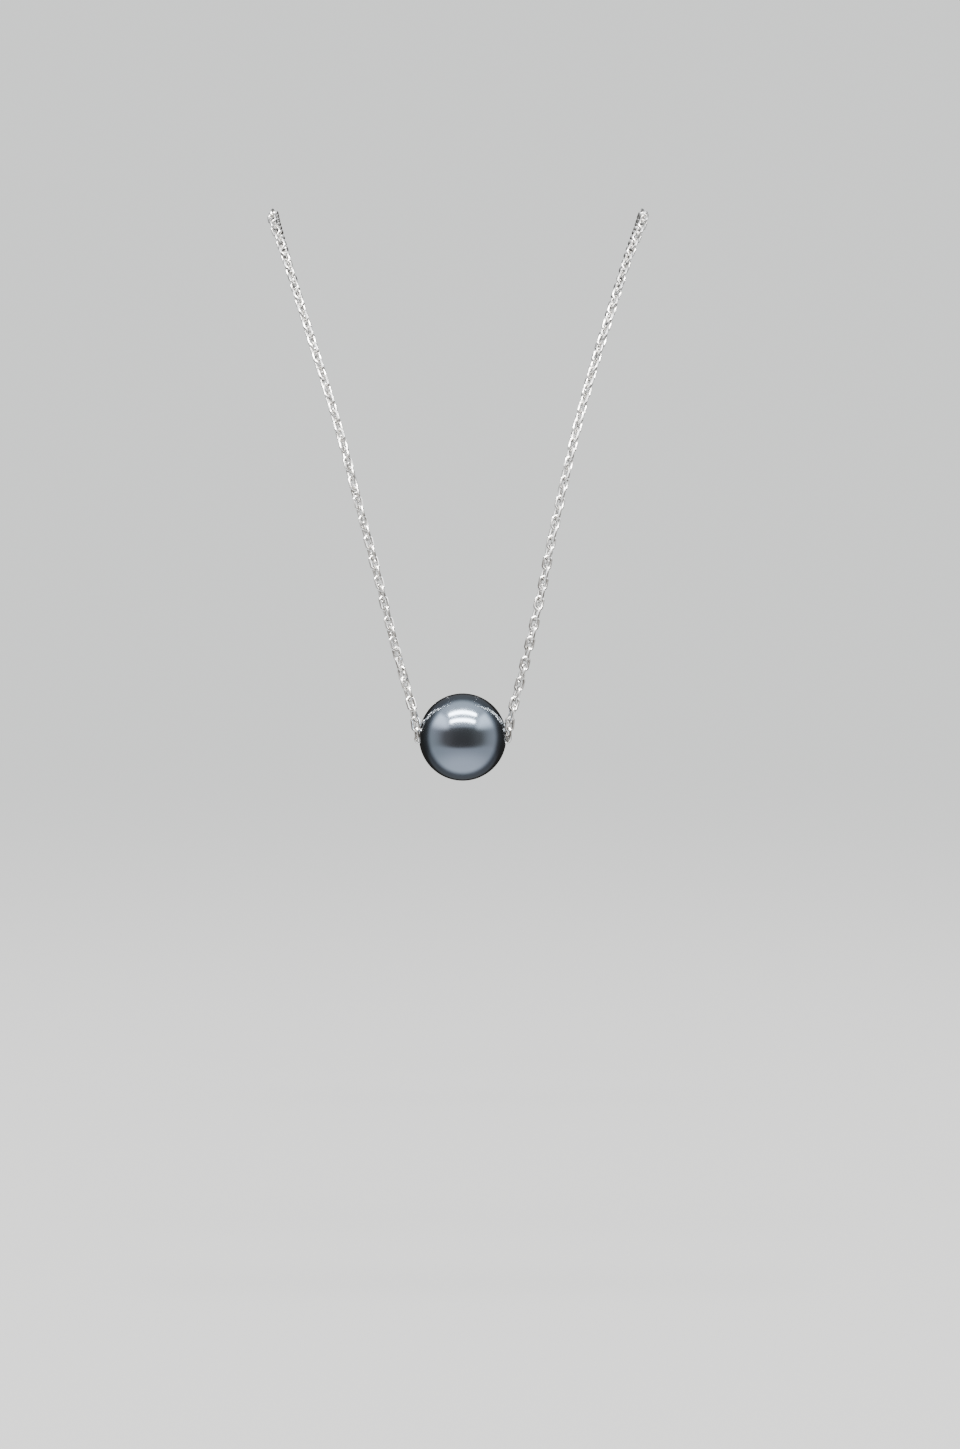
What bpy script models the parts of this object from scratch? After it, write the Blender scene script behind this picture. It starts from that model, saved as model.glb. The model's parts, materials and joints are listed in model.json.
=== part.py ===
"""Pearl necklace: one drilled round pearl, loose on a fine cable chain with a spring-ring clasp.

Metres, +Z up. The chain lies over a neck rest at the origin. In front of it, toward -Y, the two
strands come down to the pearl, and behind it, toward +Y, they come down to the clasp. X is zero at
the pearl's centre. Each strand is made in short runs of links, and every run hinges on the one
above it about a line parallel to X that passes through both strands.
"""

import math

import bmesh
import bpy
from mathutils import Matrix, Vector

MM = 0.001

# Pearl
PEARL_DIAMETER = 10.0 * MM
BORE_CLEARANCE = 0.52 * MM  # on the diameter, so that the chain runs through the pearl freely
BORE_CHAMFER = 0.20 * MM

# Chain links, ovals of round wire, each a quarter turn from the next
LINK_LENGTH = 1.75 * MM
LINK_WIDTH = 1.08 * MM
LINK_WIRE = 0.26 * MM

# Spaces between pieces
RUN_GAP = 0.30 * MM  # between two runs of a strand, where they hinge
PIECE_GAP = 0.10 * MM  # between a run and the piece that it ends at
SIDE_GAP = 0.21 * MM  # between the pearl's side and the strand beside it
LINKED_GAP = 0.04 * MM  # between two rings that hang in each other
SOLDER_GAP = 0.05 * MM  # between the clasp's tube and the eye soldered to it

# How the chain hangs
FRONT_DROP = 59.96 * MM  # from the neck rest down to the pearl's centre
FRONT_REACH = 30.45 * MM  # from the neck rest forward to the pearl's centre
REST_LEFT = 22.9 * MM  # from the pearl's centre plane out to where a strand crosses the rest
REST_RIGHT = 21.6 * MM
REST_BEND = 3.0 * MM  # how far behind the rest the strands have turned level
REAR_RADIUS = 83.0 * MM  # of the round back that the strands lie along
REAR_TURN = math.radians(84.5)  # from level at the rest to the clasp's height
REST_RUN = 7.0 * MM  # length of chain that stays on the neck rest
FRONT_RUNS = 5
REAR_RUNS = 8
SIDES = {"left": -1, "right": 1}

# The front strands' line: shares of the drop, of the reach and of each side's spread
FRONT_SHAPE = (
    (0.908, 0.969, 0.037, 0.040),
    (0.818, 0.933, 0.127, 0.126),
    (0.728, 0.888, 0.207, 0.205),
    (0.638, 0.841, 0.289, 0.274),
    (0.548, 0.788, 0.378, 0.351),
    (0.457, 0.723, 0.463, 0.432),
    (0.367, 0.627, 0.559, 0.523),
    (0.275, 0.503, 0.669, 0.632),
    (0.182, 0.355, 0.781, 0.751),
    (0.088, 0.182, 0.896, 0.876),
)
# The turn over the rest, as shares of REST_BEND: back from the rest, and down
REST_SHAPE = ((-0.30, 0.31), (0.27, 0.06), (1.0, 0.0))
# Each side's spread behind the rest, at even steps round the back
REAR_SHAPE = (
    (1.020, 1.006),
    (0.992, 0.954),
    (0.914, 0.863),
    (0.792, 0.730),
    (0.636, 0.584),
    (0.473, 0.437),
    (0.292, 0.289),
    (0.080, 0.087),
)
REAR_LAST_STEP = 0.45  # of a step, from the last of these to the clasp

# Spring-ring clasp: a C of tube, with a sprung bolt that slides round inside it
RING_RADIUS = 2.20 * MM  # of the tube's centre line
TUBE_RADIUS = 0.60 * MM
TUBE_WALL = 0.18 * MM
BOLT_CLEARANCE = 0.08 * MM
MOUTH = math.radians(44)  # opening of the C, centred on +X
BOLT_SEAT = math.radians(10)  # how far the closed bolt enters the far end of the C
SEAT_DEPTH = math.radians(13)
BOLT_SWEEP = math.radians(127)
BOLT_TRAVEL = math.radians(56)
SPRING_SWEEP = math.radians(100)
SPRING_END_GAP = math.radians(3)
LEVER_ANGLE = math.radians(40)  # of the thumb lever when the bolt is closed
LEVER_REACH = 1.15 * MM  # from the tube's centre line to the knob's centre
LEVER_RADIUS = 0.12 * MM
KNOB_RADIUS = 0.26 * MM
SLOT_CLEARANCE = 0.12 * MM
RING_X = -0.50 * MM  # sideways place of the ring's centre

# Rings that join the clasp to the chain
EYE_RADIUS = 0.55 * MM
EYE_WIRE = 0.20 * MM  # wire radii, here and below
CATCH_RADIUS = 1.30 * MM
CATCH_WIRE = 0.25 * MM
JUMP_RADIUS = 0.75 * MM
JUMP_CLEARANCE = 0.10 * MM  # on each side of a jump ring's wire, inside the last link
END_LINK_LEAN = math.radians(60)  # of the last link and the strand's end, above level
JUMP_HOLD = math.radians(45)  # where on its jump ring the last link hangs, above level

# How finely the shapes are made
CHAIN_SIDES = 2  # bevel resolutions: 2 gives 8 sides and 4 gives 12
TUBE_SIDES = 4
ARC_STEP = math.radians(7.5)
BOW_STEPS = 8
RING_SEGMENTS = 24
WIRE_SEGMENTS = 8
KNOB_SEGMENTS = 12
PEARL_RINGS = 22
PEARL_SEGMENTS = 36
RUN_STEP = 2.6 * MM
DENSE_STEPS = 24  # points made between two points of the route

SILVER = ((0.78, 0.77, 0.75, 1.0), 1.0, 0.16)  # colour, metallic, roughness
SPRING_STEEL = ((0.55, 0.56, 0.58, 1.0), 1.0, 0.25)
NACRE = ((0.16, 0.18, 0.21, 1.0), 0.35, 0.12)

JUMP_WIRE = LINK_WIDTH / 2 - LINK_WIRE - JUMP_CLEARANCE
PEARL_CENTRE = Vector((0, -FRONT_REACH, -FRONT_DROP))
BACK_Y = REST_BEND + REAR_RADIUS * math.sin(REAR_TURN)
CLASP_CENTRE = Vector((RING_X, BACK_Y, -REAR_RADIUS * (1 - math.cos(REAR_TURN))))
PARTS = "pearl_necklace"
CUTTERS = "cutters"


def clear_scene():
    for obj in list(bpy.data.objects):
        bpy.data.objects.remove(obj)
    for name in (PARTS, CUTTERS):
        collection = bpy.data.collections.new(name)
        bpy.context.scene.collection.children.link(collection)


def put_in(obj, collection):
    for owner in list(obj.users_collection):
        owner.objects.unlink(obj)
    bpy.data.collections[collection].objects.link(obj)


def give_material(obj, finish):
    """Gives the piece a material of its own, named for it."""
    colour, metallic, roughness = finish
    material = bpy.data.materials.new(obj.name)
    material.use_nodes = True
    shader = material.node_tree.nodes["Principled BSDF"]
    shader.inputs["Base Color"].default_value = colour
    shader.inputs["Metallic"].default_value = metallic
    shader.inputs["Roughness"].default_value = roughness
    material.diffuse_color = colour
    obj.data.materials.clear()
    obj.data.materials.append(material)


def smooth_round(obj):
    if obj.type == "MESH":
        obj.data.shade_smooth()
        obj.data.set_sharp_from_angle(angle=math.radians(40))


def add_axis(name, location, parent=None):
    """An empty on a joint's axis, which the pieces of that body are parented to."""
    empty = bpy.data.objects.new("axis_" + name, None)
    bpy.data.collections[PARTS].objects.link(empty)
    empty.location = location - (parent.matrix_world.translation if parent else Vector())
    empty.parent = parent
    empty.empty_display_size = 1 * MM
    bpy.context.view_layer.update()
    return empty


def finish_piece(obj, name, axis, finish):
    """Names a piece that stands in world coordinates, and hangs it on its joint's empty."""
    obj.name = name
    put_in(obj, PARTS)
    obj.parent = axis
    obj.matrix_parent_inverse = Matrix.Translation(-axis.matrix_world.translation)
    smooth_round(obj)
    give_material(obj, finish)


def wire(points, radius, sides, closed=False):
    """A round wire or tube along the points, as a curve object."""
    data = bpy.data.curves.new("wire", "CURVE")
    data.dimensions = "3D"
    data.bevel_depth = radius
    data.bevel_resolution = sides
    data.use_fill_caps = True
    spline = data.splines.new("POLY")
    spline.points.add(len(points) - 1)
    for knot, point in zip(spline.points, points):
        knot.co = (*point, 1)
    spline.use_cyclic_u = closed
    obj = bpy.data.objects.new("wire", data)
    bpy.data.collections[PARTS].objects.link(obj)
    return obj


def as_mesh(curve):
    """The curve's tube as a welded mesh object, so that it can be cut or joined."""
    bpy.context.view_layer.update()
    graph = bpy.context.evaluated_depsgraph_get()
    mesh = bpy.data.meshes.new_from_object(curve.evaluated_get(graph))
    work = bmesh.new()
    work.from_mesh(mesh)
    bmesh.ops.remove_doubles(work, verts=work.verts, dist=1e-3 * MM)
    bmesh.ops.recalc_face_normals(work, faces=work.faces)
    work.to_mesh(mesh)
    work.free()
    obj = bpy.data.objects.new("mesh", mesh)
    obj.matrix_world = curve.matrix_world
    bpy.data.collections[PARTS].objects.link(obj)
    bpy.data.objects.remove(curve)
    return obj


def boolean(obj, other, operation):
    """Cuts the other object from this one, or joins it on, and keeps the other as a guide."""
    put_in(other, CUTTERS)
    other.hide_render = True
    other.display_type = "WIRE"
    modifier = obj.modifiers.new(operation.lower(), "BOOLEAN")
    modifier.operation = operation
    modifier.solver = "EXACT"
    modifier.object = other


def arc(radius, start, end):
    """Points round an arc in the X-Z plane about the clasp's centre, from +X toward +Z."""
    steps = math.ceil((end - start) / ARC_STEP)
    points = []
    for i in range(steps + 1):
        angle = start + (end - start) * i / steps
        offset = Vector((radius * math.cos(angle), 0, radius * math.sin(angle)))
        points.append(CLASP_CENTRE + offset)
    return points


def torus(centre, radius, wire_radius, tilt):
    bpy.ops.mesh.primitive_torus_add(
        location=centre,
        rotation=(tilt, 0, 0),
        major_segments=RING_SEGMENTS,
        minor_segments=WIRE_SEGMENTS,
        major_radius=radius,
        minor_radius=wire_radius,
    )
    return bpy.context.object


def strand_side():
    """How far from the pearl's centre plane a strand's centre line hangs at the pearl."""
    return PEARL_DIAMETER / 2 + SIDE_GAP + LINK_WIDTH / 2


def foot_rise():
    """How far above the pearl's centre a strand ends, clear of the chain through the pearl.

    A strand leans at its foot, so the edge of its end hangs lower than its centre line.
    """
    drop, reach, left, right = FRONT_SHAPE[0]
    spread = max(left * (REST_LEFT - strand_side()), right * (REST_RIGHT - strand_side()))
    lean = math.atan2(math.hypot((1 - reach) * FRONT_REACH, spread), (1 - drop) * FRONT_DROP)
    return LINK_WIDTH / 2 * (1 + math.sin(lean)) + PIECE_GAP


def hang_reach(radius, wire_radius):
    """Between the centres of a ring and the jump ring that hangs in it."""
    return radius - wire_radius - LINKED_GAP - JUMP_WIRE + JUMP_RADIUS


def jump_centre(side):
    if side == "left":
        return eye_centre() - Vector((hang_reach(EYE_RADIUS, EYE_WIRE), 0, 0))
    return catch_centre() + Vector((hang_reach(CATCH_RADIUS, CATCH_WIRE), 0, 0))


def eye_centre():
    reach = RING_RADIUS + TUBE_RADIUS + SOLDER_GAP + EYE_WIRE + EYE_RADIUS
    return CLASP_CENTRE - Vector((reach, 0, 0))


def catch_centre():
    """The catch ring hangs round the bolt, in the clasp's mouth."""
    reach = RING_RADIUS - bolt_radius() - LINKED_GAP - CATCH_WIRE + CATCH_RADIUS
    return CLASP_CENTRE + Vector((reach, 0, 0))


def bolt_radius():
    return TUBE_RADIUS - TUBE_WALL - BOLT_CLEARANCE


def end_link_line(side):
    """Where the last link holds its jump ring, and its direction up the strand."""
    sign = SIDES[side]
    hold = Vector((sign * math.cos(JUMP_HOLD), 0, math.sin(JUMP_HOLD)))
    lean = Vector((sign * math.cos(END_LINK_LEAN), 0, math.sin(END_LINK_LEAN)))
    return jump_centre(side) + JUMP_RADIUS * hold, lean


def end_link_reach():
    """From the jump ring's wire to the outer edge of the last link."""
    return LINK_LENGTH - LINK_WIRE - JUMP_WIRE - LINKED_GAP


def route():
    """Rows (y, z, left x, right x) from the pearl, over the neck rest, to the last links."""
    foot = strand_side()
    rows = [(PEARL_CENTRE.y, PEARL_CENTRE.z + foot_rise(), -foot, foot)]
    for drop, reach, left, right in FRONT_SHAPE:
        left_x = foot + left * (REST_LEFT - foot)
        right_x = foot + right * (REST_RIGHT - foot)
        rows.append((-reach * FRONT_REACH, -drop * FRONT_DROP, -left_x, right_x))
    for back, down in REST_SHAPE:
        rows.append((back * REST_BEND, -down * REST_BEND, -REST_LEFT, REST_RIGHT))
    ends = []
    for side in SIDES:
        hold, lean = end_link_line(side)
        ends.append(hold + lean * (end_link_reach() + PIECE_GAP))
    left_end, right_end = ends
    step = REAR_TURN / (len(REAR_SHAPE) + REAR_LAST_STEP)
    for i, (left, right) in enumerate(REAR_SHAPE, start=1):
        y = REST_BEND + REAR_RADIUS * math.sin(i * step)
        z = -REAR_RADIUS * (1 - math.cos(i * step))
        left_x = left_end.x - left * (REST_LEFT + left_end.x)
        right_x = right_end.x + right * (REST_RIGHT - right_end.x)
        rows.append((y, z, left_x, right_x))
    rows.append((left_end.y, left_end.z, left_end.x, right_end.x))
    return rows


def smoothed(rows):
    """The route as a dense smooth line through its rows (a Catmull-Rom spline)."""
    rows = [Vector(row) for row in rows]
    rows = [2 * rows[0] - rows[1], *rows, 2 * rows[-1] - rows[-2]]
    line = []
    for before, start, end, after in zip(rows, rows[1:], rows[2:], rows[3:]):
        for i in range(DENSE_STEPS):
            t = i / DENSE_STEPS
            point = 2 * start + (end - before) * t
            point += (2 * before - 5 * start + 4 * end - after) * t**2
            point += (3 * start - before - 3 * end + after) * t**3
            line.append(point / 2)
    line.append(rows[-2])
    return line


def profile_lengths(line):
    """Length along the side view of the line, which both strands share, up to each point."""
    lengths = [0.0]
    for a, b in zip(line, line[1:]):
        lengths.append(lengths[-1] + math.hypot(b[0] - a[0], b[1] - a[1]))
    return lengths


class Strands:
    """The two strands' line, read by its length in side view."""

    def __init__(self):
        self.line = smoothed(route())
        self.lengths = profile_lengths(self.line)
        self.total = self.lengths[-1]
        first_behind = next(i for i, row in enumerate(self.line) if row[0] > 0)
        self.rest = self.lengths[first_behind]

    def row(self, length):
        """The row (y, z, left x, right x) at a length, between two points of the line."""
        i = next((i for i, end in enumerate(self.lengths) if end >= length), len(self.lengths) - 1)
        i = max(i, 1)
        share = (length - self.lengths[i - 1]) / (self.lengths[i] - self.lengths[i - 1])
        return self.line[i - 1].lerp(self.line[i], min(max(share, 0.0), 1.0))

    def axis_point(self, length):
        """A hinge's place in side view, at the middle of the necklace."""
        row = self.row(length)
        return Vector((0, row[0], row[1]))

    def run(self, side, start, end):
        """Points of one strand between two lengths."""
        steps = max(2, round((end - start) / RUN_STEP))
        column = 2 if side == "left" else 3
        points = []
        for i in range(steps + 1):
            row = self.row(start + (end - start) * i / steps)
            points.append(Vector((row[column], row[0], row[1])))
        return points


def hinge_lengths(strands):
    """Lengths of the hinges: the front ones from the rest to the pearl, then the rear ones."""
    front_top = strands.rest - REST_RUN / 2
    rear_top = strands.rest + REST_RUN / 2
    front = [front_top * (1 - i / FRONT_RUNS) for i in range(FRONT_RUNS)]
    rear_run = (strands.total - rear_top) / REAR_RUNS
    rear = [rear_top + rear_run * i for i in range(REAR_RUNS)]
    return front, rear


def chain_run(strands, name, side, axis, start, end):
    """One run of links, as a tube of the chain's outer width."""
    tube = wire(strands.run(side, start, end), LINK_WIDTH / 2, CHAIN_SIDES)
    finish_piece(tube, name, axis, SILVER)


def add_strands(strands):
    """All runs of both strands. Returns the empties of the lowest front and rear bodies."""
    front, rear = hinge_lengths(strands)
    half_gap = RUN_GAP / 2
    root = add_axis("neck_rest", Vector((0, 0, 0)))
    for side in SIDES:
        name = f"rest_chain_{side}"
        chain_run(strands, name, side, root, front[0] + half_gap, rear[0] - half_gap)
    lowest = []
    for place, hinges, last in (("front", front, 0.0), ("rear", rear, strands.total)):
        step = 1 if place == "rear" else -1
        axis = root
        for number, start in enumerate(hinges, start=1):
            axis = add_axis(f"{place}_{number}", strands.axis_point(start), axis)
            is_last = number == len(hinges)
            end = last if is_last else hinges[number] - step * half_gap
            for side in SIDES:
                name = f"{place}_chain_{side}_{number}"
                chain_run(strands, name, side, axis, start + step * half_gap, end)
        lowest.append(axis)
    return lowest


def add_pearl(front_axis):
    """The drilled pearl, turned about its bore, and the chain that runs through it."""
    bore = (LINK_WIDTH + BORE_CLEARANCE) / 2
    radius = PEARL_DIAMETER / 2
    mouth = math.asin((bore + BORE_CHAMFER) / radius)
    profile = []
    for i in range(PEARL_RINGS + 1):
        angle = mouth + (math.pi - 2 * mouth) * i / PEARL_RINGS
        profile.append((radius * math.sin(angle), 0, radius * math.cos(angle)))
    neck = profile[0][2] - BORE_CHAMFER
    profile += [(bore, 0, -neck), (bore, 0, neck)]
    edges = [(i, (i + 1) % len(profile)) for i in range(len(profile))]
    mesh = bpy.data.meshes.new("pearl")
    mesh.from_pydata(profile, edges, [])
    pearl = bpy.data.objects.new("pearl", mesh)
    bpy.data.collections[PARTS].objects.link(pearl)
    turn = pearl.modifiers.new("turn", "SCREW")
    turn.steps = PEARL_SEGMENTS
    turn.render_steps = PEARL_SEGMENTS
    turn.use_merge_vertices = True
    turn.merge_threshold = 0.001 * MM
    turn.use_smooth_shade = True
    pearl.rotation_euler = (0, math.pi / 2, 0)
    axis = add_axis("pearl", PEARL_CENTRE, front_axis)
    pearl.parent = axis
    give_material(pearl, NACRE)

    half = strand_side() + LINK_WIDTH / 2
    ends = [PEARL_CENTRE + Vector((x, 0, 0)) for x in (-half, 0, half)]
    tube = wire(ends, LINK_WIDTH / 2, CHAIN_SIDES)
    finish_piece(tube, "chain_through_pearl", front_axis, SILVER)


def add_end_link(side, axis):
    """The last link of a strand, which holds its jump ring."""
    hold, lean = end_link_line(side)
    across = Vector((0, 1, 0))
    bow = (LINK_WIDTH - LINK_WIRE) / 2
    half = (LINK_LENGTH - LINK_WIRE) / 2
    centre = hold + lean * (half - LINK_WIRE / 2 - JUMP_WIRE - LINKED_GAP)
    points = []
    for end in (1, -1):
        for i in range(BOW_STEPS + 1):
            angle = math.pi * i / BOW_STEPS
            along = end * (half - bow + bow * math.sin(angle))
            points.append(centre + lean * along + across * (end * bow * math.cos(angle)))
    link = wire(points, LINK_WIRE / 2, CHAIN_SIDES, closed=True)
    finish_piece(link, f"end_link_{side}", axis, SILVER)


def add_joining_rings(rear_axis, clasp_axis):
    flat, upright = 0.0, math.pi / 2
    for side in SIDES:
        add_end_link(side, rear_axis)
        ring = torus(jump_centre(side), JUMP_RADIUS, JUMP_WIRE, upright)
        finish_piece(ring, f"jump_ring_{side}", rear_axis, SILVER)
    eye = torus(eye_centre(), EYE_RADIUS, EYE_WIRE, flat)
    finish_piece(eye, "spring_ring_eye", clasp_axis, SILVER)
    catch = torus(catch_centre(), CATCH_RADIUS, CATCH_WIRE, flat)
    finish_piece(catch, "catch_ring", clasp_axis, SILVER)


def add_spring_ring_body(axis):
    """A C of tube. One end is bored for the bolt and its spring, the other for the bolt's tip."""
    bolt_tail = BOLT_SWEEP - MOUTH / 2 - BOLT_SEAT
    bore_end = bolt_tail + SPRING_SWEEP + 2 * SPRING_END_GAP
    past_mouth = math.radians(6)
    bore = TUBE_RADIUS - TUBE_WALL
    first, last = MOUTH / 2, 2 * math.pi - MOUTH / 2
    slot = LEVER_RADIUS + SLOT_CLEARANCE
    slack = (slot + SLOT_CLEARANCE) / (RING_RADIUS + TUBE_RADIUS)
    outer_wall = RING_RADIUS + TUBE_RADIUS - TUBE_WALL / 2
    body = as_mesh(wire(arc(RING_RADIUS, first, last), TUBE_RADIUS, TUBE_SIDES))
    cuts = (
        (arc(RING_RADIUS, first - past_mouth, bore_end), bore),
        (arc(RING_RADIUS, last - SEAT_DEPTH, last + past_mouth), bore),
        (arc(outer_wall, LEVER_ANGLE - slack, LEVER_ANGLE + BOLT_TRAVEL + slack), slot),
    )
    for points, radius in cuts:
        cutter = as_mesh(wire(points, radius, TUBE_SIDES))
        cutter.name = "cutter"
        boolean(body, cutter, "DIFFERENCE")
    finish_piece(body, "spring_ring_body", axis, SILVER)


def add_bolt(clasp_axis):
    """The bolt that closes the mouth, with the lever and knob that draw it back."""
    axis = add_axis("bolt", CLASP_CENTRE, clasp_axis)
    tip = -MOUTH / 2 - BOLT_SEAT
    bolt = as_mesh(wire(arc(RING_RADIUS, tip, tip + BOLT_SWEEP), bolt_radius(), TUBE_SIDES))
    outward = Vector((math.cos(LEVER_ANGLE), 0, math.sin(LEVER_ANGLE)))
    root = CLASP_CENTRE + outward * RING_RADIUS
    knob_centre = root + outward * LEVER_REACH
    lever = as_mesh(wire([root, knob_centre], LEVER_RADIUS, CHAIN_SIDES))
    boolean(bolt, lever, "UNION")
    bpy.ops.mesh.primitive_uv_sphere_add(
        segments=KNOB_SEGMENTS,
        ring_count=KNOB_SEGMENTS // 2,
        radius=KNOB_RADIUS,
        location=knob_centre,
    )
    boolean(bolt, bpy.context.object, "UNION")
    finish_piece(bolt, "spring_ring_bolt", axis, SILVER)
    spring_start = tip + BOLT_SWEEP + SPRING_END_GAP
    spring_arc = arc(RING_RADIUS, spring_start, spring_start + SPRING_SWEEP)
    spring = wire(spring_arc, bolt_radius(), CHAIN_SIDES)
    finish_piece(spring, "spring_ring_spring", clasp_axis, SPRING_STEEL)


def build():
    clear_scene()
    strands = Strands()
    front_axis, rear_axis = add_strands(strands)
    add_pearl(front_axis)
    clasp_axis = add_axis("clasp", CLASP_CENTRE, rear_axis)
    add_joining_rings(rear_axis, clasp_axis)
    add_spring_ring_body(clasp_axis)
    add_bolt(clasp_axis)


build()
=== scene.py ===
"""Looks of the pearl necklace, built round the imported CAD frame.

The chain's plain tubes are replaced by separate diamond-cut links that hang in each other, the
pearl by a finer one with a nacre finish, and the clasp by finely turned pieces. Sizes are in metres.
"""

import json
import math
import random

import bmesh
import bpy
from mathutils import Matrix, Vector


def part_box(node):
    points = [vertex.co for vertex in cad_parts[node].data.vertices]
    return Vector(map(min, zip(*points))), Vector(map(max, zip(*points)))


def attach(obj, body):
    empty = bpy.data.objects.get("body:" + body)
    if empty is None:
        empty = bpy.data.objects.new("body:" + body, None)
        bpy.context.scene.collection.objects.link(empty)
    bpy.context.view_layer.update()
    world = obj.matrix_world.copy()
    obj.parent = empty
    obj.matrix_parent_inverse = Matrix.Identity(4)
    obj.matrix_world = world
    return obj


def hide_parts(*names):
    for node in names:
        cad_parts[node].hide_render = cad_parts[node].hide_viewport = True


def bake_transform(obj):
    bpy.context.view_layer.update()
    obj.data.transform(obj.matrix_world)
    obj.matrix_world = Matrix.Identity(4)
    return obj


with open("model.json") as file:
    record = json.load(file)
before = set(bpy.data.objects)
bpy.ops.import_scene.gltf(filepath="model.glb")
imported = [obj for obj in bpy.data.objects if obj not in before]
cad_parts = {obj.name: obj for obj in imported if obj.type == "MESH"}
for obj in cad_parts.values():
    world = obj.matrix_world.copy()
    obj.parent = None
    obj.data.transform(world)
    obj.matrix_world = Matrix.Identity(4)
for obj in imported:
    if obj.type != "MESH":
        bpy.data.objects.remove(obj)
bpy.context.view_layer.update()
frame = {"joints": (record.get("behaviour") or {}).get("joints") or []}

MM = 0.001

# Chain links
LINK_LENGTH = 1.83 * MM
LINK_WIDTH = 1.14 * MM
LINK_WIRE = 0.30 * MM
LINK_PITCH = LINK_LENGTH - 2 * LINK_WIRE
LINK_PLAY = 0.05 * MM  # how loosely two links hang in each other
LINK_FLAT = 0.36  # the straight share of a link's end
CORNER_EASE = 0.05 * MM  # how far from each corner of its outline its wire starts to turn
# A diamond-cut wire's section: out from the link's middle and to its side, in wire radii
WIRE_SECTION = (
    (-1.0, 0.0), (-0.68, 0.68), (0.0, 1.0), (0.68, 0.74),
    (1.0, 0.0), (0.68, -0.74), (0.0, -1.0), (-0.68, -0.68),
)

# How the links lie in the strands
FACE_ROLL = math.radians(8)  # the front links that face forward, from square
EDGE_ROLL = math.radians(26)  # the front links between them, from edge-on
REAR_ROLL = math.radians(45)
ROLL_SPREAD = math.radians(7)  # how far a link turns at random about the strand
TILT_SPREAD = math.radians(3)
TWIST_TURN = math.radians(45)  # how far the left strand lies twisted
TWIST_RISE = 7.0 * MM  # where it does so most, above the pearl's centre
TWIST_REACH = 2.4 * MM
SEED = 7

# How the chain hangs, as in the CAD model
FRONT_RUNS = 5
REAR_RUNS = 8
SIDE_WORDS = {-1: "left", 1: "right"}
PEARL_RADIUS = 5.0 * MM
STRAND_SIDE = 5.75 * MM  # from the pearl's centre out to a strand beside it
FRONT_DROP = 59.96 * MM
FRONT_REACH = 30.45 * MM
REST_LEFT = 22.9 * MM
REST_RIGHT = 21.6 * MM
REST_BEND = 3.0 * MM
REAR_RADIUS = 83.0 * MM  # the arc that the rear drapes round
REAR_STEP = math.radians(10)
# The front strands' rows: drop, reach, and the left and right strands' spread, as shares
FRONT_SHAPE = (
    (0.908, 0.969, 0.037, 0.040),
    (0.818, 0.933, 0.127, 0.126),
    (0.728, 0.888, 0.207, 0.205),
    (0.638, 0.841, 0.289, 0.274),
    (0.548, 0.788, 0.378, 0.351),
    (0.457, 0.723, 0.463, 0.432),
    (0.367, 0.627, 0.559, 0.523),
    (0.275, 0.503, 0.669, 0.632),
    (0.182, 0.355, 0.781, 0.751),
    (0.088, 0.182, 0.896, 0.876),
)
# The rows over the neck rest: back and down, in bends
REST_SHAPE = ((-0.30, 0.31), (0.27, 0.06), (1.0, 0.0))
# The rear strands' rows, a step of the drape apart: the left and right strands' spread, as shares
REAR_SHAPE = (
    (1.020, 1.006),
    (0.992, 0.954),
    (0.914, 0.863),
    (0.792, 0.730),
    (0.636, 0.584),
    (0.473, 0.437),
    (0.292, 0.289),
    (0.080, 0.087),
)
SIDE_COLUMNS = {-1: 2, 1: 3}  # each side's place in a row of the route
DENSE_STEPS = 120  # points between two rows of the route
# The strands' lowest stretch, down to where the chain turns into the pearl: above the bore, and out
HOLE_SHAPE = ((-0.30 * MM, 5.20 * MM), (2.20 * MM, 5.45 * MM))
HOLE_LEAN = 0.02  # how far back that stretch leans, for each unit of its rise

# Pearl
BORE_RADIUS = 0.80 * MM
BORE_CHAMFER = 0.12 * MM
# How the bore's mouth is eased: out from the bore and in from its edge, in chamfers
BORE_EASE = ((0.25, 0.45), (0.0, 1.60))
BORE_LIFT = 0.10 * MM  # how far above the bore's middle the chain runs
PEARL_RINGS = 96
PEARL_STEPS = 144

# Clasp
RING_RADIUS = 2.20 * MM
TUBE_RADIUS = 0.60 * MM
TUBE_WALL = 0.18 * MM
BOLT_RADIUS = 0.34 * MM
MOUTH = math.radians(44)  # the gap in the tube that the bolt shuts
BOLT_SEAT = math.radians(10)  # how far the shut bolt reaches into its seat
SEAT_DEPTH = math.radians(13)
BOLT_SWEEP = math.radians(127)
BOLT_TRAVEL = math.radians(56)
SPRING_SWEEP = math.radians(100)
SPRING_END_GAP = math.radians(3)
LEVER_ANGLE = math.radians(40)  # where the lever stands on the shut bolt
LEVER_REACH = 1.15 * MM  # from the bolt's middle to the knob's
LEVER_RADIUS = 0.12 * MM
KNOB_RADIUS = 0.26 * MM
SLOT_RADIUS = 0.24 * MM
SLOT_SLACK = 1.5  # how far the lever's slot runs past its travel, in slot radii
CUT_PAST = math.radians(6)  # how far a cut in the tube runs on past its end
COIL_RADIUS = 0.25 * MM
COIL_WIRE = 0.05 * MM
COIL_TURNS = 14
COIL_STEPS = 20  # points in a turn
SOLDER_RADIUS = 0.16 * MM
SOLDER_STRETCH = (0.9, 1.0, 1.6)
RING_SEAM = math.radians(1.2)  # the closed joint in a bent ring
EYE_WIRE = 0.20 * MM
CATCH_WIRE = 0.25 * MM
JUMP_RADIUS = 0.75 * MM
JUMP_WIRE = 0.18 * MM
END_LINK_LEAN = math.radians(60)  # how steeply the last link rises from its jump ring
JUMP_HOLD = math.radians(45)  # where it holds the ring
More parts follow.
